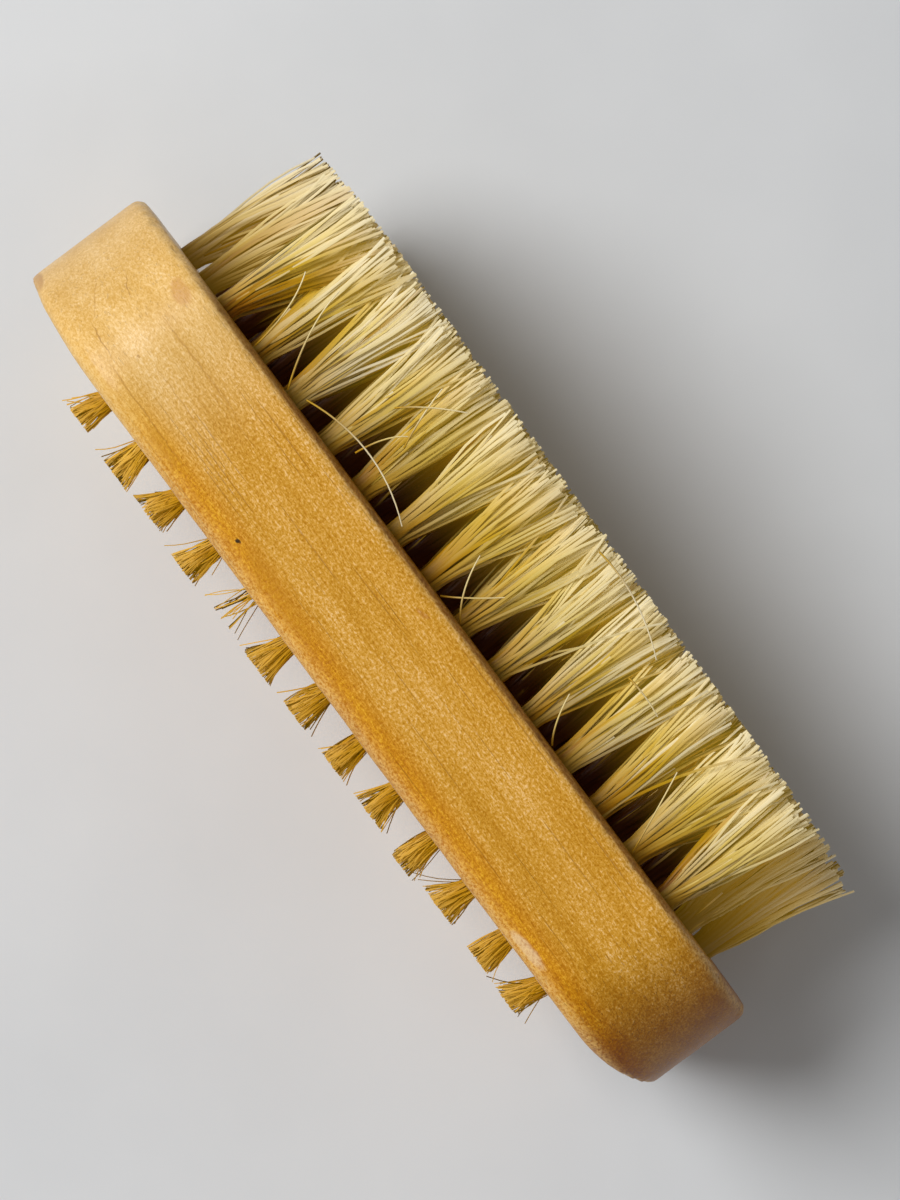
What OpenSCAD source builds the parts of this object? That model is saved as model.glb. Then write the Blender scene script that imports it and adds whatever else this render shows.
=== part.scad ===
// Two-sided wooden brush with long bristles on one face and short bristles on the other.
//
// X runs along the block, -Y points the way the long bristles point, +Y the way the short
// ones point, and +Z is up while the brush stands on one of its long side walls. The origin
// is the middle of that side wall. Lengths are in millimetres.

/* [Block] */
// Length of the block
block_length = 95; // [92:1:110]
// Width of the block, which is its height while it stands on a side wall
block_width = 40; // [39:1:46]
// Thickness of the block, from the long-bristle face to the short-bristle face
block_thickness = 13.7; // [13:0.1:16]
// Radius of the block's four corners
corner_radius = 15; // [12:0.5:17]
// Radius of the rounded rim around the short-bristle face
rear_rim_radius = 1.6; // [0.8:0.1:2.2]
// Bevel around the long-bristle face
front_bevel = 0.7; // [0.2:0.1:0.8]
// Length over which the short-bristle face is worn down towards the end facing -X
hard_wear_length = 8.5; // [5:0.5:10]
// Depth of that wear at the very end
hard_wear_depth = 2.6; // [1:0.1:3]
// Length over which the same face is worn towards the end facing +X
light_wear_length = 12; // [5:0.5:12]
// Depth of that wear at the very end
light_wear_depth = 1; // [0.2:0.1:1.2]

/* [Long bristles] */
// Tufts in each of the two outer rows; each row further in has one tuft more
outer_row_tufts = 14; // [10:1:14]
// Distance from the block's middle to the last tuft of an outer row
outer_row_reach = 33.8; // [33.2:0.1:34.2]
// How much further than its outer neighbour a row reaches at each end
row_reach_step = 3.4; // [3:0.1:3.5]
// Distance between rows
row_pitch = 7; // [6.5:0.1:7.4]
// Length of the bristles beyond the face
long_bristle_length = 15.8; // [12:0.2:22]
// Diameter of the drilled holes
long_hole_diameter = 3.2; // [2.8:0.1:3.4]
// Depth of the drilled holes
long_hole_depth = 7; // [6:0.1:7]
// Diameter of a tuft at its trimmed tips
long_tip_diameter = 4.9; // [4:0.1:5]

/* [Short bristles] */
// Tufts in the single row
short_tufts = 13; // [8:1:13]
// Distance from the block's middle to the last tuft of the row
short_row_reach = 34.5; // [33:0.1:37]
// Length of the bristles beyond the face
short_bristle_length = 4.6; // [3:0.1:10]
// Diameter of the drilled holes
short_hole_diameter = 2.8; // [2.4:0.1:3]
// Depth of the drilled holes
short_hole_depth = 4.8; // [4:0.1:5]
// Diameter of a tuft at its trimmed tips
short_tip_diameter = 4.4; // [3.5:0.1:5]

/* [Wire anchors] */
// Thickness of the flat wire that pins each tuft's fold to the bottom of its hole
anchor_gauge = 0.4; // [0.3:0.05:0.5]
// Width of the flat wire, measured along the hole
anchor_width = 1.8; // [1.4:0.1:2.2]
// Thickness of the folded bristles under the anchor
fold_thickness = 0.6; // [0.4:0.1:0.8]

/* [Hidden] */
// Rows of long bristles, from the top one down while the brush stands
ROWS = ["a", "b", "c", "d", "e"];
// Room between a tuft and its hole, and between an anchor and what is round it
clearance = 0.05;
// What a cutting shape runs past the face it cuts
overrun = 1;
// Facets of a full circle
$fn = 64;
// Facets of the wide arcs that the worn ends follow
wear_arc_facets = 360;

wood_colour = [0.80, 0.60, 0.32];
long_bristle_colour = [0.83, 0.73, 0.50];
short_bristle_colour = [0.74, 0.57, 0.27];
wire_colour = [0.72, 0.70, 0.66];

last_row = len(ROWS) - 1;
row_middle = last_row / 2;
inner_rows = [for (r = [1 : last_row - 1]) r];
outer_numbers = [for (n = [1 : outer_row_tufts]) two_digits(n)];
short_numbers = [for (n = [1 : short_tufts]) two_digits(n)];

function two_digits(n) = n < 10 ? str("0", n) : str(n);

// Rows nearer the middle hold more tufts and reach further, as the block's ends are round.
function steps_in(r) = row_middle - abs(r - row_middle);
function tufts_in_row(r) = outer_row_tufts + steps_in(r);
function row_reach(r) = outer_row_reach + row_reach_step * steps_in(r);

// Place of tuft n, counted from 0, in a row of count tufts that reaches as far to both sides.
function place_in_row(n, count, reach) = reach * (2 * n / (count - 1) - 1);
function long_place(r, n) = [
    place_in_row(n, tufts_in_row(r), row_reach(r)),
    (r - row_middle) * row_pitch
];
function short_place(n) = [place_in_row(n, short_tufts, short_row_reach), 0];

// The pieces are drawn lying down: x along the block, y across it, and z from the
// long-bristle face at 0 to the short-bristle face at block_thickness. This stands them up.
module stand() {
    translate([0, -block_thickness / 2, block_width / 2])
        rotate([-90, 0, 0])
            children();
}

// Section of the block, 2 * half wide: bevelled at the bottom and rounded at the top.
module rim_section(half) {
    difference() {
        union() {
            translate([-half, 0])
                square([2 * half, block_thickness - rear_rim_radius]);
            translate([-half + rear_rim_radius, 0])
                square([2 * (half - rear_rim_radius), block_thickness]);
            for (side = [-1, 1])
                translate([side * (half - rear_rim_radius), block_thickness - rear_rim_radius])
                    circle(rear_rim_radius);
        }
        for (side = [-1, 1])
            translate([side * half, 0])
                rotate(45)
                    square(front_bevel * sqrt(2), center = true);
    }
}

// The solid outline of the block: four turned corners joined by two crossing bars.
module block_body() {
    half_length = block_length / 2;
    half_width = block_width / 2;
    corner_x = half_length - corner_radius;
    corner_y = half_width - corner_radius;
    for (x = [-corner_x, corner_x], y = [-corner_y, corner_y])
        translate([x, y, 0])
            rotate_extrude()
                intersection() {
                    rim_section(corner_radius);
                    square([corner_radius, block_thickness]);
                }
    rotate([90, 0, 90])
        linear_extrude(2 * corner_x, center = true)
            rim_section(half_width);
    rotate([90, 0, 0])
        linear_extrude(2 * corner_y, center = true)
            rim_section(half_length);
}

// What use has worn off the short-bristle face towards the end facing +X: all that lies
// outside a wide arc, which leaves the face at wear_length from the end and has dropped by
// wear_depth at the end itself.
module end_wear(wear_length, wear_depth) {
    radius = (pow(wear_length, 2) + pow(wear_depth, 2)) / (2 * wear_depth);
    translate([block_length / 2 - wear_length, 0, block_thickness - radius])
        rotate([90, 0, 0])
            linear_extrude(block_width + 2 * overrun, center = true)
                difference() {
                    translate([0, radius - wear_depth - overrun])
                        square([wear_length + overrun, wear_depth + 2 * overrun]);
                    circle(radius, $fn = wear_arc_facets);
                }
}

module block() {
    color(wood_colour)
        stand()
            difference() {
                block_body();
                end_wear(light_wear_length, light_wear_depth);
                mirror([1, 0, 0])
                    end_wear(hard_wear_length, hard_wear_depth);
                for (r = [0 : last_row], n = [0 : tufts_in_row(r) - 1])
                    translate(long_place(r, n))
                        translate([0, 0, -overrun])
                            cylinder(d = long_hole_diameter, h = long_hole_depth + overrun);
                for (n = [0 : short_tufts - 1])
                    translate(short_place(n))
                        translate([0, 0, block_thickness - short_hole_depth])
                            cylinder(d = short_hole_diameter, h = short_hole_depth + overrun);
            }
}

// Flat wire lying across the bottom of a hole, with the fold of the bristles under it.
module anchor(hole_diameter) {
    length = hole_diameter - 4 * clearance;
    translate([-length / 2, -anchor_gauge / 2, fold_thickness + clearance])
        cube([length, anchor_gauge, anchor_width]);
}

// Bundle of bristles folded under its anchor: straight in the hole, spreading beyond it.
module tuft(hole_diameter, hole_depth, tip_diameter, length) {
    root_diameter = hole_diameter - 2 * clearance;
    difference() {
        union() {
            translate([0, 0, clearance])
                cylinder(d = root_diameter, h = hole_depth - clearance);
            translate([0, 0, hole_depth])
                cylinder(d1 = root_diameter, d2 = tip_diameter, h = length);
        }
        translate([-hole_diameter / 2, -anchor_gauge / 2 - clearance, fold_thickness])
            cube([hole_diameter, anchor_gauge + 2 * clearance, anchor_width + 2 * clearance]);
    }
}

// Stands a piece in a hole of the long-bristle face, from the bottom of the hole outwards.
module in_long_hole(r, n) {
    stand()
        translate(long_place(r, n))
            translate([0, 0, long_hole_depth])
                mirror([0, 0, 1])
                    children();
}

// The same for a hole of the short-bristle face.
module in_short_hole(n) {
    stand()
        translate(short_place(n))
            translate([0, 0, block_thickness - short_hole_depth])
                children();
}

module long_tuft(r, n) {
    color(long_bristle_colour)
        in_long_hole(r, n)
            tuft(long_hole_diameter, long_hole_depth, long_tip_diameter, long_bristle_length);
}

module long_tuft_row(r) {
    for (n = [0 : tufts_in_row(r) - 1])
        long_tuft(r, n);
}

module short_tuft(n) {
    color(short_bristle_colour)
        in_short_hole(n)
            tuft(short_hole_diameter, short_hole_depth, short_tip_diameter, short_bristle_length);
}

module anchors_row(r) {
    color(wire_colour)
        for (n = [0 : tufts_in_row(r) - 1])
            in_long_hole(r, n)
                anchor(long_hole_diameter);
}

module anchors_short_row() {
    color(wire_colour)
        for (n = [0 : short_tufts - 1])
            in_short_hole(n)
                anchor(short_hole_diameter);
}

block();
for (n = [0 : outer_row_tufts - 1]) {
    long_tuft(0, n);
    long_tuft(last_row, n);
}
for (r = inner_rows)
    long_tuft_row(r);
for (n = [0 : short_tufts - 1])
    short_tuft(n);
for (r = [0 : last_row])
    anchors_row(r);
anchors_short_row();
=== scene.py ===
import math
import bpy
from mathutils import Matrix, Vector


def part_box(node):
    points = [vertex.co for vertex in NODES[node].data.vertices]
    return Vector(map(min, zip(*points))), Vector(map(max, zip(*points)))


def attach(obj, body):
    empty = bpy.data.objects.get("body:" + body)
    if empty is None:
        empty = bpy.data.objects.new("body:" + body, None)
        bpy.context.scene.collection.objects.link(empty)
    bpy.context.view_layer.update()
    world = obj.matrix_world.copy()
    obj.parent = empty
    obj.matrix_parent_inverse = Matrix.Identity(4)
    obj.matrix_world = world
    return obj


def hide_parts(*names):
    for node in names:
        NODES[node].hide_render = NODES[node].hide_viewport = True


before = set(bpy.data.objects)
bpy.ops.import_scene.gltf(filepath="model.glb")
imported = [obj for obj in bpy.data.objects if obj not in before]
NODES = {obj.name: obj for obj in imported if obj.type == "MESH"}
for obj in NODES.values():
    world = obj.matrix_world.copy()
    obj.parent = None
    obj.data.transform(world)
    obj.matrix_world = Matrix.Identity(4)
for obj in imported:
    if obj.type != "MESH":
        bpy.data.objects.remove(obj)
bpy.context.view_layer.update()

from types import SimpleNamespace

import bpy
import numpy as np
from mathutils import Matrix, Vector, noise

# The brush stands on a long side wall: X runs along the block, the long bristles point to -Y,
# the short ones to +Y, and Z is up. Lengths are metres, written as millimetres times MM.
MM = 0.001
BODY = "root"
BLOCK_LOW, BLOCK_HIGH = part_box("block")

# Bristles are closed tubes. Their colour map has a bristle's tone across it and the way from
# root to tip up it, so bristles of one tone share a strip. The tube itself takes the part WALL_V
# of the way up. Its two ends are small discs there, END_V from the bottom and the top of the map.
SIDES = 4
RINGS = 8
UV_MAP = "OFBake"
STRIP = 1 / 40
WALL_V = (0.05, 0.95)
END_V = 0.025
END_RADIUS = 0.02

# How much of its shading a bristle owes to its own roundness, and how much to its tuft's.
OWN_SHADING = 0.2
TUFT_SHADING = 1.6
TIP_SHADING = 2.0   # the tuft's part at the cut ends, where 1 is the part of the bristle's own tip
SIDEWAYS = 0.35     # how round a tuft is shaded along X, where 1 is how round it is along Z

ROOTED = 1.5 * MM               # how deep in its hole a drawn bristle starts
ROOT_FILL = 0.72                # how much of the tuft's root its bristles' middle lines take up
LOCK_SPREAD = 0.9               # how much of the tuft's spread the middles of its locks take up
SIZE_SCATTER = 0.07             # scatter of how far tufts spread, as a share
FLARE = 1.3                     # above 1, a tuft opens towards its tips rather than at the wood
LONGEST = 1.03                  # the longest bristle, where 1 is the length of its tuft
BROKEN_LENGTHS = (0.3, 0.85)    # where broken bristles end, as shares of their length
TONE_LIMITS = (0.03, 0.97)      # keeps a bristle's strip inside the colour map
LONG_SEED, SHORT_SEED = 7, 11

# Looks of a tuft. Bristles cling together in locks towards their tips.
#   count, locks: how many bristles, and how many locks they gather in
#   spread: half the tuft's size at the tips along X and Z; lean: scatter of how it tips over
#   gather: how far at most a bristle is drawn to the middle of its lock, as a share
#   sway, bow: sideways scatter of the tips and of the middles; uneven: scatter of the lengths
#   stray, stray_sway: the share that sticks out, and how far; broken: the share that is short
#   thickness: range of the radius at the root; taper: radius at the tip for 1 at the root
#   tone: place on the colour ramp; tone_spread: its scatter
# A name that starts with lock_ is the same scatter for whole locks.
LONG_TUFT = SimpleNamespace(
    count=150, locks=14, spread=(4.0 * MM, 3.6 * MM), lean=(0.25 * MM, 0.25 * MM), gather=0.70,
    sway=0.26 * MM, lock_sway=0.42 * MM, bow=0.27 * MM, lock_bow=0.22 * MM,
    uneven=0.020, lock_uneven=0.026, stray=0.05, stray_sway=1.8 * MM, broken=0.04,
    thickness=(0.095 * MM, 0.155 * MM), taper=0.85, tone=0.52, tone_spread=0.07, lock_tone=0.22)
INNER_TUFT = SimpleNamespace(**{**vars(LONG_TUFT), "count": 130})
SHORT_TUFT = SimpleNamespace(
    count=210, locks=8, spread=(1.65 * MM, 1.7 * MM), lean=(0.4 * MM, 0.3 * MM), gather=0.75,
    sway=0.18 * MM, lock_sway=0.34 * MM, bow=0.10 * MM, lock_bow=0.10 * MM,
    uneven=0.11, lock_uneven=0.10, stray=0.14, stray_sway=0.8 * MM, broken=0.12,
    thickness=(0.048 * MM, 0.075 * MM), taper=0.75, tone=0.50, tone_spread=0.12, lock_tone=0.12)
SPARSE_TUFT = SimpleNamespace(**{**vars(SHORT_TUFT), "count": 26, "stray": 0.4, "tone": 0.75})
SPARSE_NODE = "short_tuft_09"

# Long tufts, as shares of the length that the CAD gives them: more worn at the end facing -X.
WORN_LENGTH, FULL_LENGTH = 0.925, 0.990
# Towards both ends of the block the long tufts lean in: over which share of its length, and how
# far at the very end facing -X and +X.
LEANING_SHARE = 0.28
LEAN_IN_LOW, LEAN_IN_HIGH = 0.7 * MM, 4.0 * MM
# The end tufts of an inner row are in the open, so they leave out this much of the root's painted shade.
END_TUFT_SHADE_SKIPPED = 0.34
# Short tufts have worn down to between these shares of the CAD's length.
SHORT_LENGTHS = (0.79, 0.97)


# ---------------------------------------------------------------- shader nodes

class Shader:
    """The nodes of a new material or world, and the few kinds of node that they are made of."""

    def __init__(self, owner, surface="Principled BSDF"):
        owner.use_nodes = True
        self.owner = owner
        self.tree = owner.node_tree
        self.surface = self.tree.nodes[surface]

    def node(self, kind, inputs=(), **settings):
        made = self.tree.nodes.new(kind)
        for name, value in settings.items():
            setattr(made, name, value)
        for key, value in dict(inputs).items():
            self.plug(made.inputs[key], value)
        return made

    def plug(self, socket, value):
        """Links another node's output, or sets a value. A colour of three numbers is opaque."""
        if isinstance(value, bpy.types.NodeSocket):
            self.tree.links.new(value, socket)
        elif hasattr(value, "__len__") and len(socket.default_value) == 4:
            socket.default_value = (*value[:3], 1)
        else:
            socket.default_value = value

    def set(self, **inputs):
        for name, value in inputs.items():
            self.plug(self.surface.inputs[name.replace("_", " ")], value)

    def place(self):
        """The point on the object, in millimetres of the frame."""
        coords = self.node("ShaderNodeTexCoord").outputs["Object"]
        return self.scaled(coords, (1 / MM,) * 3)

    def scaled(self, vector, by):
        return self.vector("MULTIPLY", vector, by)

    def vector(self, operation, a, b):
        return self.node("ShaderNodeVectorMath", {0: a, 1: b}, operation=operation).outputs[0]

    def split(self, vector):
        return self.node("ShaderNodeSeparateXYZ", {0: vector}).outputs

    def math(self, operation, a, b, c=0.0):
        return self.node("ShaderNodeMath", {0: a, 1: b, 2: c}, operation=operation).outputs[0]

    def total(self, *terms):
        """0.5 plus the sum of (value - 0.5) * weight over the (value, weight) pairs."""
        result = 0.5
        for value, weight in terms:
            offset = self.math("MULTIPLY", self.math("SUBTRACT", value, 0.5), weight)
            result = self.math("ADD", result, offset)
        return result

    def noise(self, vector, scale, detail=2.0, roughness=0.5):
        """Noise whose features are about 1 / scale mm in size along each axis."""
        inputs = {"Vector": self.scaled(vector, scale), "Scale": 1.0, "Detail": detail,
                  "Roughness": roughness}
        return self.node("ShaderNodeTexNoise", inputs).outputs

    def step(self, value, low, high, to_low=0.0, to_high=1.0):
        """Runs smoothly from to_low to to_high as value goes from low to high."""
        inputs = {"Value": value, "From Min": low, "From Max": high, "To Min": to_low, "To Max": to_high}
        return self.node("ShaderNodeMapRange", inputs, interpolation_type="SMOOTHSTEP").outputs[0]

    def spot(self, vector, centre, radii, turn):
        """1 in the middle of an ellipsoid that is turned by some degrees about Z, 0 outside it."""
        inputs = {"Vector": vector, "Location": centre, "Scale": radii,
                  "Rotation": (0, 0, math.radians(turn))}
        local = self.node("ShaderNodeMapping", inputs, vector_type="TEXTURE").outputs[0]
        length = self.node("ShaderNodeVectorMath", {0: local}, operation="LENGTH").outputs["Value"]
        return self.step(length, 0.6, 1.0, 1.0, 0.0)

    def attribute(self, name):
        return self.node("ShaderNodeAttribute", attribute_name=name).outputs["Fac"]

    def ramp(self, value, stops):
        made = self.node("ShaderNodeValToRGB", {0: value})
        elements = made.color_ramp.elements
        while len(elements) < len(stops):
            elements.new(0.5)
        for element, (position, colour) in zip(elements, stops):
            element.position = position
            element.color = (*colour, 1)
        return made.outputs[0]

    def mix(self, share, a, b, blend="MIX"):
        made = self.node("ShaderNodeMix", {0: share, 6: a, 7: b}, data_type="RGBA", blend_type=blend)
        return made.outputs[2]

    def bump(self, height, distance):
        inputs = {"Height": height, "Distance": distance, "Strength": 1.0}
        return self.node("ShaderNodeBump", inputs).outputs[0]


# ---------------------------------------------------------------- materials

# Marks of wear and growth on the wood: centre and radii in mm, turn in degrees, strength, colour.
WOOD_MARKS = [
    ((15.7, 4.7, 40.0), (0.34, 0.24, 0.8), 20, 0.97, (0.012, 0.006, 0.004)),    # pin knot
    ((-29.6, 5.9, 40.0), (2.8, 0.7, 0.9), 4, 0.70, (0.84, 0.62, 0.38)),         # scuffed rim
    ((37.0, -4.6, 39.5), (1.7, 1.0, 2.0), -8, 0.50, (0.52, 0.20, 0.030)),       # rough reddish patch
    ((46.6, 5.6, 32.0), (1.6, 0.9, 9.0), -12, 0.60, (0.34, 0.13, 0.022)),       # bruised corner
    ((40.6, -1.1, 38.0), (1.5, 0.08, 3.0), -24, 0.60, (0.36, 0.16, 0.030)),     # drying check
    ((41.6, 1.9, 37.5), (2.9, 0.08, 3.5), -36, 0.40, (0.40, 0.18, 0.035)),      # drying check
    ((37.7, 3.8, 38.8), (2.3, 0.10, 2.5), -6, 0.65, (0.36, 0.16, 0.030)),       # drying check
    ((34.6, 1.9, 39.8), (0.22, 0.16, 0.6), 30, 0.70, (0.42, 0.20, 0.040)),      # pin knot
    ((0.4, -4.8, 40.0), (0.9, 0.30, 0.8), 15, 0.60, (0.50, 0.19, 0.030)),       # shallow dent
    ((9.5, 4.8, 40.0), (6.5, 1.1, 1.5), -4, 0.50, (0.55, 0.23, 0.010)),         # resin stain
    ((27.0, 5.1, 40.0), (3.0, 0.7, 1.5), -3, 0.45, (0.58, 0.26, 0.015)),        # resin stain
    ((-41.8, 4.3, 31.9), (0.45, 0.35, 1.2), 0, 0.60, (0.60, 0.38, 0.16)),       # pale fleck
    ((31.0, -2.0, 40.0), (8.0, 0.09, 1.5), 0, 0.50, (0.42, 0.19, 0.030)),       # dark grain line
    ((27.0, 1.3, 40.0), (7.0, 0.08, 1.5), -1, 0.45, (0.42, 0.19, 0.030)),       # dark grain line
    ((30.0, 4.5, 40.0), (8.0, 0.09, 1.5), -1, 0.50, (0.38, 0.16, 0.015)),       # dark grain line
]


def wood_material():
    """Waxed beech, handled for years: speckle, flecks and streaks that follow the grain along X.

    Places and the bounds of steps along x, y and z are millimetres of the frame.
    """
    s = Shader(bpy.data.materials.new("waxed_beech"))
    place = s.place()
    x, y = s.split(place)[:2]

    patches = s.noise(place, (0.05, 0.30, 0.20), 3.0, 0.55)[0]
    bands = s.noise(place, (0.012, 0.55, 0.35), 2.0, 0.5)[0]
    streaks = s.noise(place, (0.14, 3.4, 3.4), 3.0, 0.6)[0]
    fibres = s.noise(place, (1.6, 7.0, 7.0), 2.0, 0.6)[0]
    speckle = s.noise(place, (3.2, 3.8, 3.8), 2.0, 0.75)[0]
    lines = s.noise(place, (0.06, 4.2, 4.2), 1.0, 0.4)[0]
    tone = s.total((patches, 0.60), (bands, 0.28), (streaks, 0.34), (fibres, 0.65), (speckle, 1.18))
    colour = s.ramp(tone, [(0.22, (0.49, 0.200, 0.004)), (0.40, (0.60, 0.277, 0.016)),
                           (0.53, (0.68, 0.340, 0.037)), (0.66, (0.80, 0.438, 0.100)),
                           (0.80, (0.91, 0.580, 0.235))])
    dark_lines = s.math("MULTIPLY", s.step(lines, 0.66, 0.72), s.step(speckle, 0.35, 0.55, 0.2, 1.0))
    colour = s.mix(s.math("MULTIPLY", dark_lines, 0.50), colour, (0.36, 0.140, 0.015))

    # Paler towards +X, partly lighter wood and partly a painted highlight where the key light's
    # sheen falls, and duller again at that very end; more orange along the short-bristle face; and
    # browner towards -X, painted shade on the end that turns away from the key light.
    pale = s.ramp(tone, [(0.25, (0.80, 0.500, 0.140)), (0.50, (0.88, 0.600, 0.240)),
                         (0.75, (0.95, 0.700, 0.360))])
    # Painted highlight, partly lighter wood: paler from x = 20 to 36 mm, duller again past 38 mm.
    colour = s.mix(s.step(x, 20, 36, 0.0, 0.60), colour, pale)
    colour = s.mix(s.step(x, 38, 44, 0.0, 0.17), colour, (0.30, 0.18, 0.08))
    orange = s.math("MULTIPLY", s.step(y, 2.6, 5.0, 0.0, 0.92), s.step(x, 24, 38, 1.0, 0.15))
    orange = s.math("MULTIPLY", orange, s.step(y, 6.4, 6.8, 1.0, 0.4))
    colour = s.mix(orange, colour, (0.91, 0.72, 0.00), "MULTIPLY")
    # Painted shade: browner towards -X, where the end turns away from the key light.
    painted_end_shade = s.step(s.math("ADD", x, s.math("MULTIPLY", patches, 5)), -43.2, -32.0, 1.0, 0.0)
    colour = s.mix(painted_end_shade, colour, (0.52, 0.38, 0.12), "MULTIPLY")

    ragged = s.vector("SUBTRACT", s.noise(place, (0.9, 0.9, 0.9), 3.0, 0.65)[1], (0.5, 0.5, 0.5))
    ragged = s.vector("ADD", place, s.scaled(ragged, (1.2, 0.6, 1.2)))
    broken_up = s.step(speckle, 0.30, 0.60, 0.55, 1.0)
    for centre, radii, turn, strength, mark in WOOD_MARKS:
        share = s.math("MULTIPLY", s.spot(ragged, centre, radii, turn), strength)
        colour = s.mix(s.math("MULTIPLY", share, broken_up), colour, mark)

    # The long-bristle face is darker under the bristle roots and less so towards the ends: painted
    # shade, partly soaked brown. The arrises round the wood are rubbed pale.
    shaded_and_soaked = s.step(s.math("SUBTRACT", y, s.math("MULTIPLY", streaks, 0.5)), -6.75, -6.30, 0.9, 0.0)
    shaded_and_soaked = s.math("MULTIPLY", shaded_and_soaked, s.step(s.math("ABSOLUTE", x, 0.0), 33, 41, 1.0, 0.2))
    colour = s.mix(shaded_and_soaked, colour, (0.28, 0.18, 0.02), "MULTIPLY")
    rubbed = s.math("MULTIPLY", s.attribute("edge"), s.step(speckle, 0.35, 0.60, 0.1, 0.6))
    rubbed = s.math("MULTIPLY", rubbed, s.math("SUBTRACT", 1.0, shaded_and_soaked))
    colour = s.mix(rubbed, colour, (0.84, 0.55, 0.20))

    height = s.total((speckle, 0.7), (fibres, 0.5), (streaks, 0.4), (dark_lines, -0.4))
    s.set(Base_Color=colour, Roughness=s.step(speckle, 0.3, 0.7, 0.34, 0.50),
          Normal=s.bump(height, 0.08 * MM), Specular_IOR_Level=0.12, Coat_Weight=0.25, Coat_Roughness=0.20)
    return s.owner


def bristle_material(name, tones, root, tip_colour, glow_colour):
    """Natural bristle: each has its own tone, dark and dull at the root and pale where it was cut.

    tones is a colour ramp. root is the darkening at the root, partly stain and partly painted
    shade where the tufts stand close, and where on the colour map, going up, it starts and ends
    fading. The glow is painted light that stands for daylight coming through from behind.
    """
    root_colour, root_start, root_end = root
    s = Shader(bpy.data.materials.new(name))
    uv = s.node("ShaderNodeUVMap", uv_map=UV_MAP).outputs[0]
    u, v = s.split(uv)[:2]
    colour = s.ramp(u, tones)
    # Painted shade between the tufts, partly stain: darker towards the root.
    colour = s.mix(s.step(v, root_start, root_end, 1.0, 0.0), colour, root_colour, "MULTIPLY")
    colour = s.mix(s.step(v, 0.50, 1.00, 0.0, 0.65), colour, tip_colour)
    scales = s.noise(uv, (40.0, 12.0, 1.0))[0]
    # Painted light: a glow up the bristle, none at the root and less at the tip.
    lit_through = s.math("MULTIPLY", s.step(v, 0.20, 0.80), s.step(v, 0.80, 1.00, 1.0, 0.6))
    glow = s.mix(lit_through, (0.0, 0.0, 0.0), glow_colour)
    s.set(Base_Color=colour, Roughness=s.step(scales, 0.3, 0.7, 0.34, 0.50),
          Specular_IOR_Level=0.15, Normal=s.bump(scales, 0.01 * MM),
          Emission_Color=glow, Emission_Strength=1.0)
    s.owner.cycles.emission_sampling = "NONE"   # too faint to be worth sampling as a lamp
    return s.owner


def wire_material():
    """Plain drawn steel wire with faint drawing lines."""
    s = Shader(bpy.data.materials.new("drawn_wire"))
    lines = s.noise(s.place(), (0.8, 20.0, 20.0))[0]
    s.set(Base_Color=s.ramp(lines, [(0.3, (0.45, 0.43, 0.40)), (0.7, (0.62, 0.60, 0.56))]),
          Metallic=1.0, Roughness=s.step(lines, 0.3, 0.7, 0.28, 0.42), Normal=s.bump(lines, 0.01 * MM))
    return s.owner


def floor_material():
    s = Shader(bpy.data.materials.new("pale_floor"))
    cloud = s.noise(s.place(), (0.02, 0.02, 0.02), 4.0, 0.55)[0]
    s.set(Base_Color=s.ramp(cloud, [(0.35, (0.66, 0.67, 0.68)), (0.65, (0.71, 0.72, 0.73))]),
          Roughness=0.8)
    return s.owner


# ---------------------------------------------------------------- bristles

def unit(vectors):
    return vectors / np.linalg.norm(vectors, axis=-1, keepdims=True)


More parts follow.
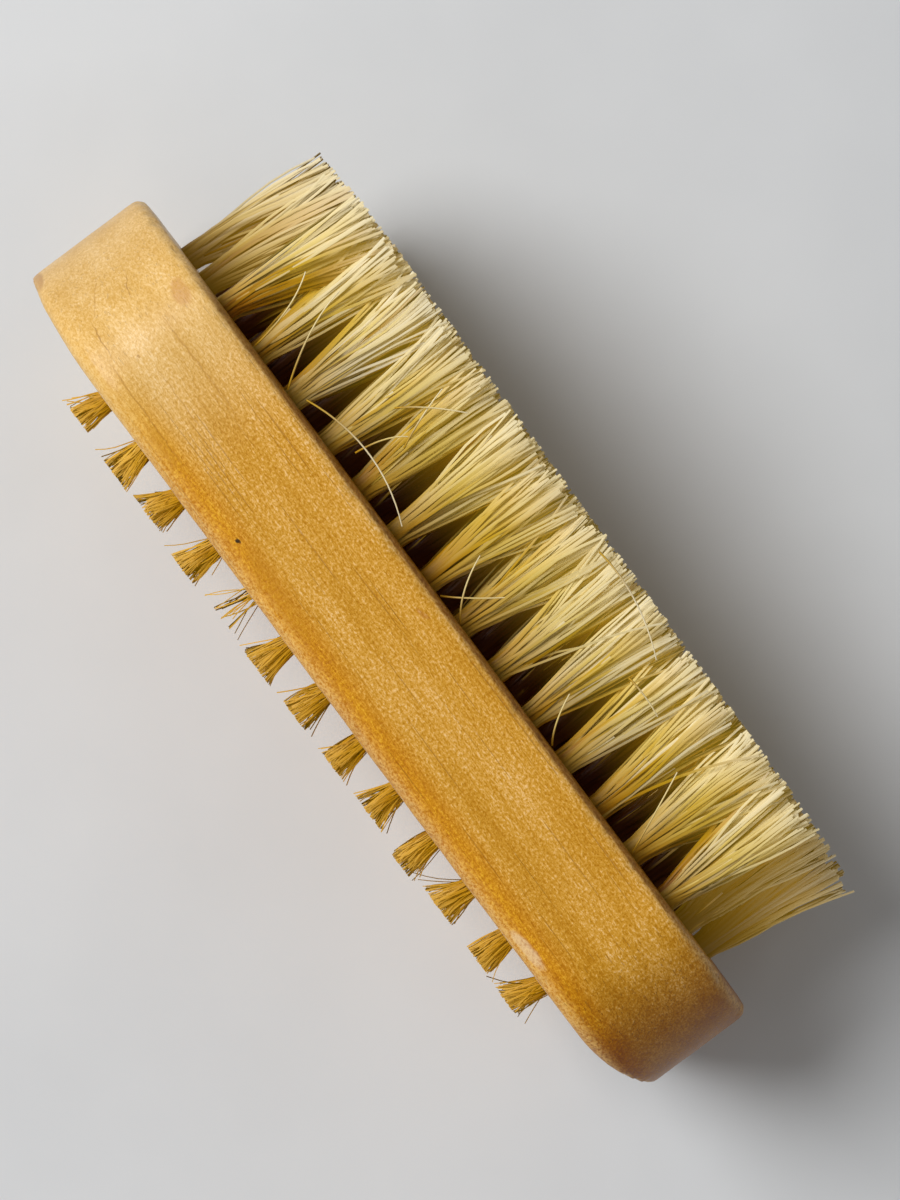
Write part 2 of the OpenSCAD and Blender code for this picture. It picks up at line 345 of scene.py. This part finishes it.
def bristle_mesh(name, paths, radii, tones, outward, shade_skipped):
    """One mesh of closed tubes: paths is (tubes, rings, 3), radii (tubes, rings), tones (tubes).

    outward, (tubes, 3), points from the middle of a tuft to its outside. The shading leans that
    way, as bristles that lie close together catch the light as one soft body. The last argument,
    (tubes), is how much of the colour map's painted root shade a bristle leaves out.
    """
    count, rings, _ = paths.shape
    along = unit(np.gradient(paths, axis=1))
    across = unit(np.cross(along, (0.0, 0.0, 1.0)))
    upright = np.cross(across, along)
    angles = 2 * math.pi * np.arange(SIDES) / SIDES
    round_it = (across[:, :, None] * np.cos(angles)[:, None]
                + upright[:, :, None] * np.sin(angles)[:, None])
    points = paths[:, :, None] + radii[:, :, None, None] * round_it
    shading = unit(OWN_SHADING * round_it + TUFT_SHADING * outward[:, None, None])

    ids = np.arange(count * rings * SIDES).reshape(count, rings, SIDES)
    turned = np.roll(ids, -1, axis=2)
    walls = np.stack([ids[:, :-1], ids[:, 1:], turned[:, 1:], turned[:, :-1]], axis=-1)
    ends = np.stack([ids[:, 0], ids[:, -1, ::-1]], axis=1)

    side = np.arange(SIDES)
    row = np.arange(rings - 1)
    left = tones[:, None, None] + STRIP * (side / SIDES - 0.5)
    left = np.broadcast_to(left, (count, rings - 1, SIDES))
    first = WALL_V[0] + shade_skipped[:, None, None]
    climb = (WALL_V[1] - first) / (rings - 1)
    low = np.broadcast_to(first + climb * row[None, :, None], left.shape)
    right, high = left + STRIP / SIDES, low + climb
    wall_uv = np.stack([np.stack([left, low], -1), np.stack([left, high], -1),
                        np.stack([right, high], -1), np.stack([right, low], -1)], axis=-2)
    disc = np.stack([STRIP / 2 * np.cos(angles), END_RADIUS * np.sin(angles)], -1)
    root_uv = np.stack([tones, np.full(count, END_V)], -1)[:, None] + disc
    tip_uv = np.stack([tones, np.full(count, 1 - END_V)], -1)[:, None] + disc[::-1]
    end_uv = np.stack([root_uv, tip_uv], axis=1)

    corners = np.concatenate([walls.ravel(), ends.ravel()])
    sizes = np.concatenate([np.full(walls[..., 0].size, 4), np.full(2 * count, SIDES)])
    mesh = bpy.data.meshes.new(name)
    mesh.vertices.add(points.size // 3)
    mesh.vertices.foreach_set("co", points.astype(np.float32).ravel())
    mesh.loops.add(len(corners))
    mesh.loops.foreach_set("vertex_index", corners.astype(np.int32))
    mesh.polygons.add(len(sizes))
    mesh.polygons.foreach_set("loop_start", (np.cumsum(sizes) - sizes).astype(np.int32))
    mesh.polygons.foreach_set("use_smooth", sizes == 4)
    uv = mesh.uv_layers.new(name=UV_MAP)
    uv.data.foreach_set("uv", np.concatenate([wall_uv.ravel(), end_uv.ravel()]).astype(np.float32))
    mesh.update(calc_edges=True)
    mesh.validate()
    tip_shading = unit(along[:, -1] + TIP_SHADING * outward)
    end_shading = np.repeat(np.stack([-along[:, 0], tip_shading], axis=1), SIDES, axis=1)
    wall_shading = shading.reshape(-1, 3)[walls.ravel()]
    mesh.normals_split_custom_set(np.concatenate([wall_shading, end_shading.reshape(-1, 3)]))
    return mesh


def tuft_places(node, outward):
    """Where the tufts of a CAD node stand, as (x, z) pairs, and the radius of their roots.

    outward is -1 or 1, the way along Y that the tufts point.
    """
    near = 0.1 * MM     # what lies this near the deepest point of the tufts belongs to their roots
    apart = 1.0 * MM    # a wider gap along X than this parts two tufts
    points = np.array([v.co for v in NODES[node].data.vertices])
    depth = points[:, 1] * outward
    roots = points[depth < depth.min() + near]
    roots = roots[np.argsort(roots[:, 0])]
    gaps = np.nonzero(np.diff(roots[:, 0]) > apart)[0] + 1
    middles = [(g.min(axis=0) + g.max(axis=0)) / 2 for g in np.split(roots, gaps)]
    radius = (roots[:, 2].max() - roots[:, 2].min()) / 2
    return [(m[0], m[2]) for m in middles], radius


def spread_over_disc(rng, count):
    """Points over a disc of radius 1, evenly spread with a little disorder."""
    disorder = 0.05
    n = np.arange(count) + 0.5
    radius = np.sqrt(n / count)
    angle = n * math.pi * (3 - math.sqrt(5)) + rng.uniform(0, 2 * math.pi)
    disc = np.stack([radius * np.cos(angle), radius * np.sin(angle)], -1)
    return disc + rng.normal(0, disorder, disc.shape)


def grow_tuft(rng, place, root_radius, face, reach, lean, look, shade_skipped=0.0):
    """What bristle_mesh needs for the tuft that stands at place, (x, z), on the face at y = face.

    reach is how far its tips are from the face along Y, and lean how far off it along X and Z.
    """
    disc = spread_over_disc(rng, look.count)
    locks = spread_over_disc(rng, look.locks) * LOCK_SPREAD
    lock = np.argmin(((disc[:, None] - locks) ** 2).sum(-1), axis=1)
    spread = np.array(look.spread) * rng.normal(1, SIZE_SCATTER, 2)
    tip = disc * spread
    tip += (locks[lock] * spread - tip) * rng.uniform(0, look.gather, (look.count, 1))
    tip += rng.normal(0, look.lock_sway, (look.locks, 2))[lock] + rng.normal(0, look.sway, disc.shape)
    tip += np.where(rng.random((look.count, 1)) < look.stray, rng.normal(0, look.stray_sway, disc.shape), 0)
    tip += lean

    height = 1 + rng.normal(0, look.lock_uneven, look.locks)[lock] + rng.normal(0, look.uneven, look.count)
    height *= np.where(rng.random(look.count) < look.broken, rng.uniform(*BROKEN_LENGTHS, look.count), 1)
    height = np.minimum(height, LONGEST)[:, None]

    t = np.linspace(0, 1, RINGS)
    start = face - math.copysign(ROOTED, reach)
    y = start + (face + reach * height - start) * t
    way = np.maximum((y - face) / reach, 0)[..., None]
    root = disc * root_radius * ROOT_FILL
    xz = root[:, None] + (tip - root)[:, None] * way ** FLARE
    bow = rng.normal(0, look.bow, disc.shape) + rng.normal(0, look.lock_bow, (look.locks, 2))[lock]
    wave = rng.normal(0, look.bow / 2, disc.shape)
    xz = xz + bow[:, None] * np.sin(math.pi * way) + wave[:, None] * np.sin(2 * math.pi * way)
    xz = xz + np.array(place)
    paths = np.stack([xz[..., 0], y, xz[..., 1]], -1)

    radii = rng.uniform(*look.thickness, (look.count, 1)) * np.linspace(1.0, look.taper, RINGS)
    tones = look.tone + rng.normal(0, look.lock_tone, look.locks)[lock]
    tones = np.clip(tones + rng.normal(0, look.tone_spread, look.count), *TONE_LIMITS)
    outward = np.stack([SIDEWAYS * disc[:, 0], np.zeros(look.count), disc[:, 1]], -1)
    return paths, radii, tones, outward, np.full(look.count, shade_skipped)


def piece(name, mesh, material, slot, *replaced):
    """A Blender piece on the object's one body, standing for the CAD nodes that it replaces."""
    made = bpy.data.objects.new(name, mesh)
    bpy.context.scene.collection.objects.link(made)
    made.data.materials.append(material)
    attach(made, BODY)
    if replaced:
        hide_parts(*replaced)


def long_tufts(node, material, look):
    """The long tufts of one CAD node."""
    rng = np.random.default_rng([LONG_SEED, *node.encode()])
    places, root_radius = tuft_places(node, -1)
    length = BLOCK_LOW.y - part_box(node)[0].y
    grown = []
    for x, z in places:
        share = (x - BLOCK_LOW.x) / (BLOCK_HIGH.x - BLOCK_LOW.x)
        reach = -length * (WORN_LENGTH + (FULL_LENGTH - WORN_LENGTH) * share)
        lean = np.array([rng.normal(0, scatter) for scatter in look.lean])
        lean[0] += LEAN_IN_LOW * max(0, 1 - share / LEANING_SHARE)
        lean[0] -= LEAN_IN_HIGH * max(0, 1 - (1 - share) / LEANING_SHARE)
        # An end tuft is in the open, so less of the root's painted shade goes on it.
        end_tuft = len(places) > 1 and (x, z) in (places[0], places[-1])
        shade_skipped = END_TUFT_SHADE_SKIPPED if end_tuft else 0.0
        grown.append(grow_tuft(rng, (x, z), root_radius, BLOCK_LOW.y, reach, lean, look, shade_skipped))
    mesh = bristle_mesh(node + "_bristles", *map(np.concatenate, zip(*grown)))
    piece(node + "_bristles", mesh, material, "long_bristle", node)


def short_tuft(node, material, look):
    """The one short tuft of a CAD node."""
    rng = np.random.default_rng([SHORT_SEED, *node.encode()])
    (place,), root_radius = tuft_places(node, 1)
    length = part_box(node)[1].y - BLOCK_HIGH.y
    reach = length * rng.uniform(*SHORT_LENGTHS)
    lean = np.array([rng.normal(0, scatter) for scatter in look.lean])
    grown = grow_tuft(rng, place, root_radius, BLOCK_HIGH.y, reach, lean, look)
    mesh = bristle_mesh(node + "_bristles", *grown)
    piece(node + "_bristles", mesh, material, "short_bristle", node)


# Bristles that have come loose and lie across the others: start, bend and end in mm, and tone.
STRAYS = [
    ((22.4, -7.9, 37.0), (15.0, -11.1, 41.0), (8.0, -8.0, 37.5), 0.95),
    ((-4.6, -21.0, 38.0), (-10.0, -21.7, 40.5), (-15.6, -19.3, 37.5), 0.95),
    ((-15.4, -16.3, 38.2), (-17.6, -16.6, 39.2), (-19.8, -16.3, 37.5), 0.80),
    ((24.2, -7.1, 37.2), (27.8, -12.1, 39.4), (28.5, -16.2, 38.4), 0.75),
    ((29.2, -7.1, 37.2), (29.6, -11.9, 39.0), (31.8, -14.8, 37.8), 0.70),
    ((13.6, -12.4, 37.8), (15.0, -15.4, 39.0), (15.8, -18.4, 38.2), 0.80),
    ((17.0, -13.9, 37.8), (15.6, -16.2, 39.6), (12.7, -18.9, 38.4), 0.75),
    ((15.9, -8.6, 37.2), (15.5, -11.8, 38.8), (14.2, -13.3, 37.8), 0.60),
    ((-2.2, -7.0, 36.5), (0.2, -8.7, 38.2), (1.6, -12.1, 36.5), 0.70),
    ((0.8, -7.0, 36.5), (-1.0, -8.9, 38.0), (-3.0, -11.9, 36.5), 0.65),
    ((-16.2, -7.0, 36.5), (-14.6, -8.3, 38.0), (-13.4, -11.1, 36.5), 0.60),
    ((-28.4, -7.1, 36.5), (-26.8, -10.7, 38.2), (-25.0, -14.7, 36.5), 0.65),
]


def stray_bristles(material):
    """The loose bristles, each an even curve from start to end, drawn towards its bend."""
    rings, radius, taper = 16, 0.10 * MM, 0.6
    t = np.linspace(0, 1, rings)[:, None]
    paths = []
    for start, bend, end, _ in STRAYS:
        start, bend, end = (np.array(point) * MM for point in (start, bend, end))
        paths.append(start * (1 - t) ** 2 + bend * 2 * t * (1 - t) + end * t ** 2)
    tones = np.array([tone for *_, tone in STRAYS])
    radii = np.tile(radius * np.linspace(1.0, taper, rings), (len(STRAYS), 1))
    outward = np.zeros((len(STRAYS), 3))
    shade_skipped = np.zeros(len(STRAYS))
    mesh = bristle_mesh("stray_bristles", np.array(paths), radii, tones, outward, shade_skipped)
    piece("stray_bristles", mesh, material, "long_bristle")


# ---------------------------------------------------------------- block

def worn_block(material):
    """The block with softened and chipped arrises: the CAD solid remeshed fine and worn."""
    voxel = 0.45 * MM
    front_chips, rear_chips, swelling = 0.45 * MM, 0.20 * MM, 0.03 * MM
    chips_per_mm, small_chips_per_mm, swells_per_mm = 0.9, 2.6, 0.35
    sound = 0.05    # where the noise stays below this, the arris is not chipped
    rough = bpy.data.objects.new("block_rough", NODES["block"].data.copy())
    bpy.context.scene.collection.objects.link(rough)
    remesh = rough.modifiers.new("remesh", "REMESH")
    remesh.mode = "VOXEL"
    remesh.voxel_size = voxel
    soften = rough.modifiers.new("soften", "SMOOTH")
    soften.factor = 0.5
    soften.iterations = 2
    fixed = rough.evaluated_get(bpy.context.evaluated_depsgraph_get())
    mesh = bpy.data.meshes.new_from_object(fixed)
    bpy.data.objects.remove(rough)
    mesh.name = "worn_block"
    mesh.materials.clear()

    points = np.zeros((len(mesh.vertices), 3), np.float32)
    normals = np.zeros_like(points)
    mesh.vertices.foreach_get("co", points.ravel())
    mesh.vertices.foreach_get("normal", normals.ravel())
    # 1 where the surface slants halfway between a wall and a face, 0 on both of them.
    edge = 4 * normals[:, 1] ** 2 * (1 - normals[:, 1] ** 2)
    chips, swell = [], []
    for point in points / MM:
        small = noise.noise(Vector(point * small_chips_per_mm))
        chips.append(noise.noise(Vector(point * chips_per_mm)) + 0.5 * small)
        swell.append(noise.noise(Vector(point * swells_per_mm)))
    chipping = np.where(normals[:, 1] < 0, front_chips, rear_chips) * edge
    wear = chipping * np.maximum(0, np.array(chips) - sound) + swelling * np.array(swell)
    points -= normals * wear[:, None]
    mesh.vertices.foreach_set("co", points.ravel())
    mesh.attributes.new("edge", "FLOAT", "POINT").data.foreach_set("value", edge)
    mesh.polygons.foreach_set("use_smooth", np.ones(len(mesh.polygons), bool))
    mesh.update()
    piece("worn_block", mesh, material, "wood", "block")


# ---------------------------------------------------------------- stage

TOWARDS_KEY = Vector((0.62, 0.34, 1.0))


def build_floor():
    half = 1.5  # metres, far past the edges of the picture
    mesh = bpy.data.meshes.new("floor")
    corners = [(-half, -half, 0), (half, -half, 0), (half, half, 0), (-half, half, 0)]
    mesh.from_pydata(corners, [], [(0, 1, 2, 3)])
    floor = bpy.data.objects.new("floor", mesh)
    bpy.context.scene.collection.objects.link(floor)
    floor.location.z = BLOCK_LOW.z
    floor.data.materials.append(floor_material())


def build_key_light():
    """One wide round lamp, high up and off towards +X and the short bristles' side."""
    distance, across, watts = 0.8, 0.46, 5.5
    centre = (BLOCK_LOW + BLOCK_HIGH) / 2
    data = bpy.data.lights.new("key", "AREA")
    data.shape = "DISK"
    data.size = across
    data.energy = watts
    data.color = (0.99, 0.995, 1.0)
    key = bpy.data.objects.new("key", data)
    bpy.context.scene.collection.objects.link(key)
    key.location = centre + TOWARDS_KEY.normalized() * distance
    key.rotation_euler = (centre - key.location).to_track_quat("-Z", "Y").to_euler()


def build_world():
    """Soft white light from all round, stronger low down and on the key light's side."""
    overhead, added_low_down, lit_side_gain = 0.205, 0.34, 0.30
    s = Shader(bpy.data.worlds.new("studio"), "Background")
    x, y, z = s.split(s.node("ShaderNodeTexCoord").outputs["Generated"])[:3]
    low = s.math("POWER", s.math("SUBTRACT", 1.0, s.math("MAXIMUM", z, 0.0)), 2.0)
    level = s.math("MULTIPLY_ADD", low, added_low_down, overhead)
    side = TOWARDS_KEY.to_2d().normalized()
    lit_side = s.math("ADD", s.math("MULTIPLY", x, side.x), s.math("MULTIPLY", y, side.y))
    gain = s.math("MULTIPLY_ADD", lit_side, lit_side_gain, 1.0)
    s.set(Color=(1.0, 1.0, 1.0), Strength=s.math("MULTIPLY", level, gain))
    bpy.context.scene.world = s.owner


def build_camera():
    """Looks almost straight down, with the block's length slanting across the picture."""
    slant = math.radians(53.3)
    distance = 450 * MM     # above the block's upper wall
    off_plumb = 2 * MM      # towards the long bristles
    off_face = 0.65 * MM    # from the long-bristle face to the middle of the picture
    target = Vector((0, BLOCK_LOW.y - off_face, BLOCK_HIGH.z))
    eye = target + Vector((0, -off_plumb, distance))
    back = (eye - target).normalized()
    right = Vector((-math.cos(slant), -math.sin(slant), 0))
    right = (right - back * right.dot(back)).normalized()
    up = back.cross(right)
    data = bpy.data.cameras.new("camera")
    data.sensor_width = 36
    data.lens = 149.1
    data.clip_start = 0.01
    data.clip_end = 10
    camera = bpy.data.objects.new("camera", data)
    bpy.context.scene.collection.objects.link(camera)
    rotation = Matrix((right, up, back)).transposed().to_4x4()
    camera.matrix_world = Matrix.Translation(eye) @ rotation
    bpy.context.scene.camera = camera


# ---------------------------------------------------------------- the brush

def build_brush():
    wood = wood_material()
    wire = wire_material()
    straw = [(0.0, (0.42, 0.215, 0.002)), (0.25, (0.56, 0.355, 0.015)), (0.50, (0.65, 0.50, 0.140)),
             (0.75, (0.72, 0.62, 0.36)), (1.0, (0.75, 0.70, 0.56))]
    straw_tip = (0.77, 0.72, 0.56)
    umber = [(0.0, (0.30, 0.125, 0.001)), (0.5, (0.50, 0.255, 0.003)), (1.0, (0.70, 0.42, 0.04))]
    umber_tip = (0.66, 0.42, 0.09)
    # Copies of one bristle with light and shade painted in: row a is in full light; rows b and c
    # stand in its shadow, painted as dark roots and a weaker glow; rows d and e stand in deeper
    # shade, painted as darker roots and a weaker glow still.
    cream = bristle_material(
        "cream_bristle", straw, ((0.74, 0.48, 0.04), 0.05, 0.66), straw_tip, (0.175, 0.108, 0.006))
    root_shadowed = bristle_material(
        "root_shadowed_bristle", straw, ((0.18, 0.065, 0.002), 0.26, 0.90), straw_tip, (0.14, 0.078, 0.003))
    shaded = bristle_material(
        "shaded_bristle", straw, ((0.46, 0.25, 0.02), 0.10, 0.76), straw_tip, (0.10, 0.060, 0.003))
    ochre = bristle_material(
        "ochre_bristle", umber, ((0.66, 0.44, 0.10), 0.05, 0.50), umber_tip, (0.10, 0.052, 0.000))

    worn_block(wood)
    for node in sorted(NODES):
        if node.startswith("long_tuft_a"):
            long_tufts(node, cream, LONG_TUFT)
        elif node.startswith("long_tuft_e"):
            long_tufts(node, shaded, LONG_TUFT)
        elif node.startswith("long_tufts_row"):
            long_tufts(node, shaded if node.endswith("_d") else root_shadowed, INNER_TUFT)
        elif node.startswith("short_tuft"):
            short_tuft(node, ochre, SPARSE_TUFT if node == SPARSE_NODE else SHORT_TUFT)
        elif node.startswith("anchors"):
            NODES[node].data.materials.clear()
            NODES[node].data.materials.append(wire)
    stray_bristles(cream)


build_floor()
build_key_light()
build_world()
build_camera()
bpy.context.scene.view_settings.view_transform = "Standard"
build_brush()
